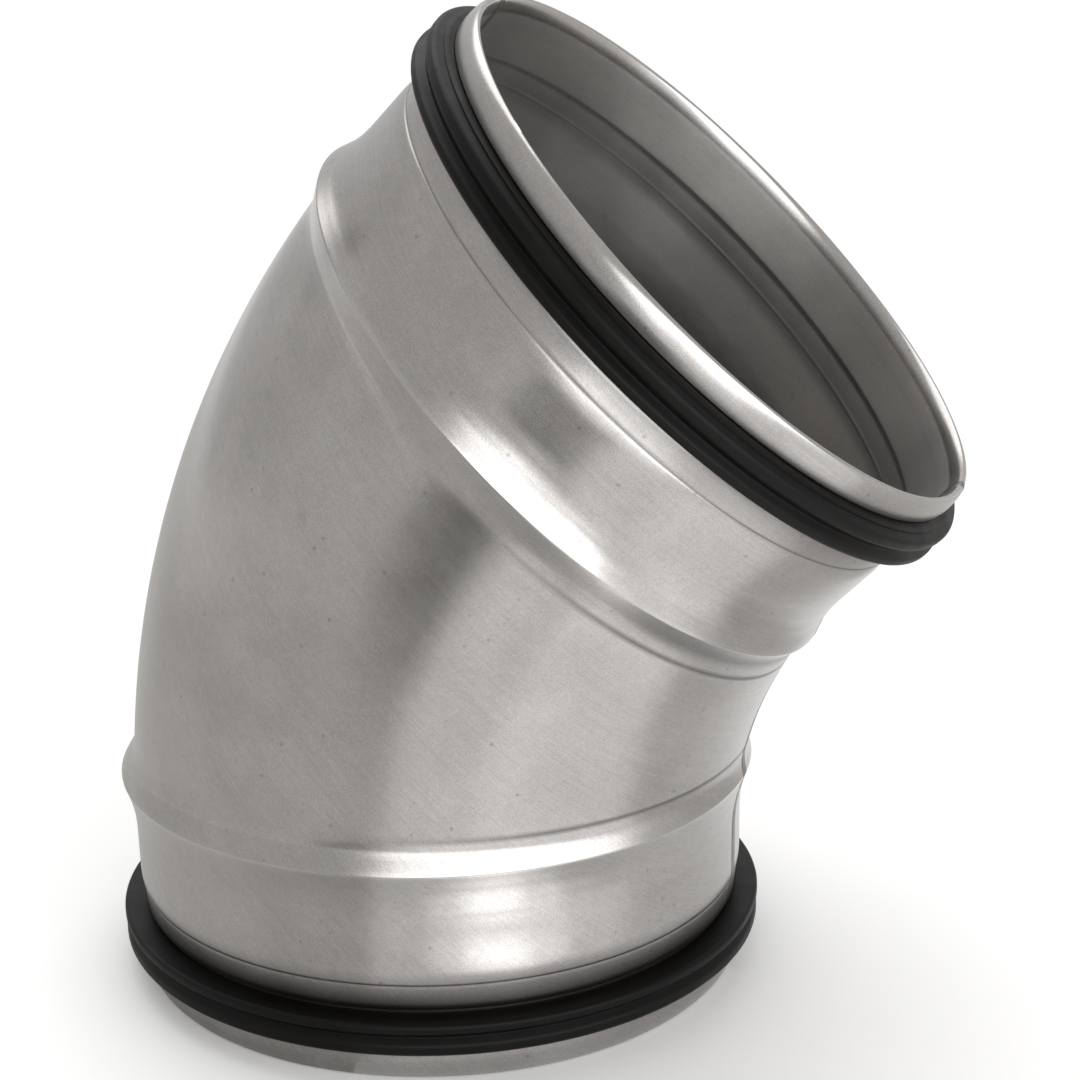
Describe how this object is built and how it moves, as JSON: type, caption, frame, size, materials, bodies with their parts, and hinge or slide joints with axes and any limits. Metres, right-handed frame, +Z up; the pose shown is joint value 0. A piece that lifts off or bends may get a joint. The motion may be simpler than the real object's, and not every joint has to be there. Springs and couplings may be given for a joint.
{
  "type": "ventilation duct bend",
  "caption": "Pressed 45 degree bend for round sheet-metal air duct, with a stop bead, a rubber lip seal and a hemmed rim on each spigot.",
  "frame": {"origin": "bottom centre of the bend's box, in the plane of the lower rim's flat land; the lower spigot's axis stands at x = -0.02447 m", "axes": "+Z up, out of the body along the lower spigot's axis; +X towards the throat side, the way the upper mouth leans; +Y square to the plane of the bend"},
  "size_m": [0.2176, 0.1686, 0.243],
  "materials": {
    "galvanised_steel": "galvanised, pressed, matt with soft streaks",
    "weld_steel": "seam welded, slightly darker",
    "seal_rubber": "extruded EPDM, satin black"
  },
  "bodies": {
    "root": {"front_half_shell": "galvanised_steel", "back_half_shell": "galvanised_steel", "heel_weld_seam": "weld_steel", "throat_weld_seam": "weld_steel", "lower_seal": "seal_rubber", "upper_seal": "seal_rubber"}
  },
  "joints": []
}
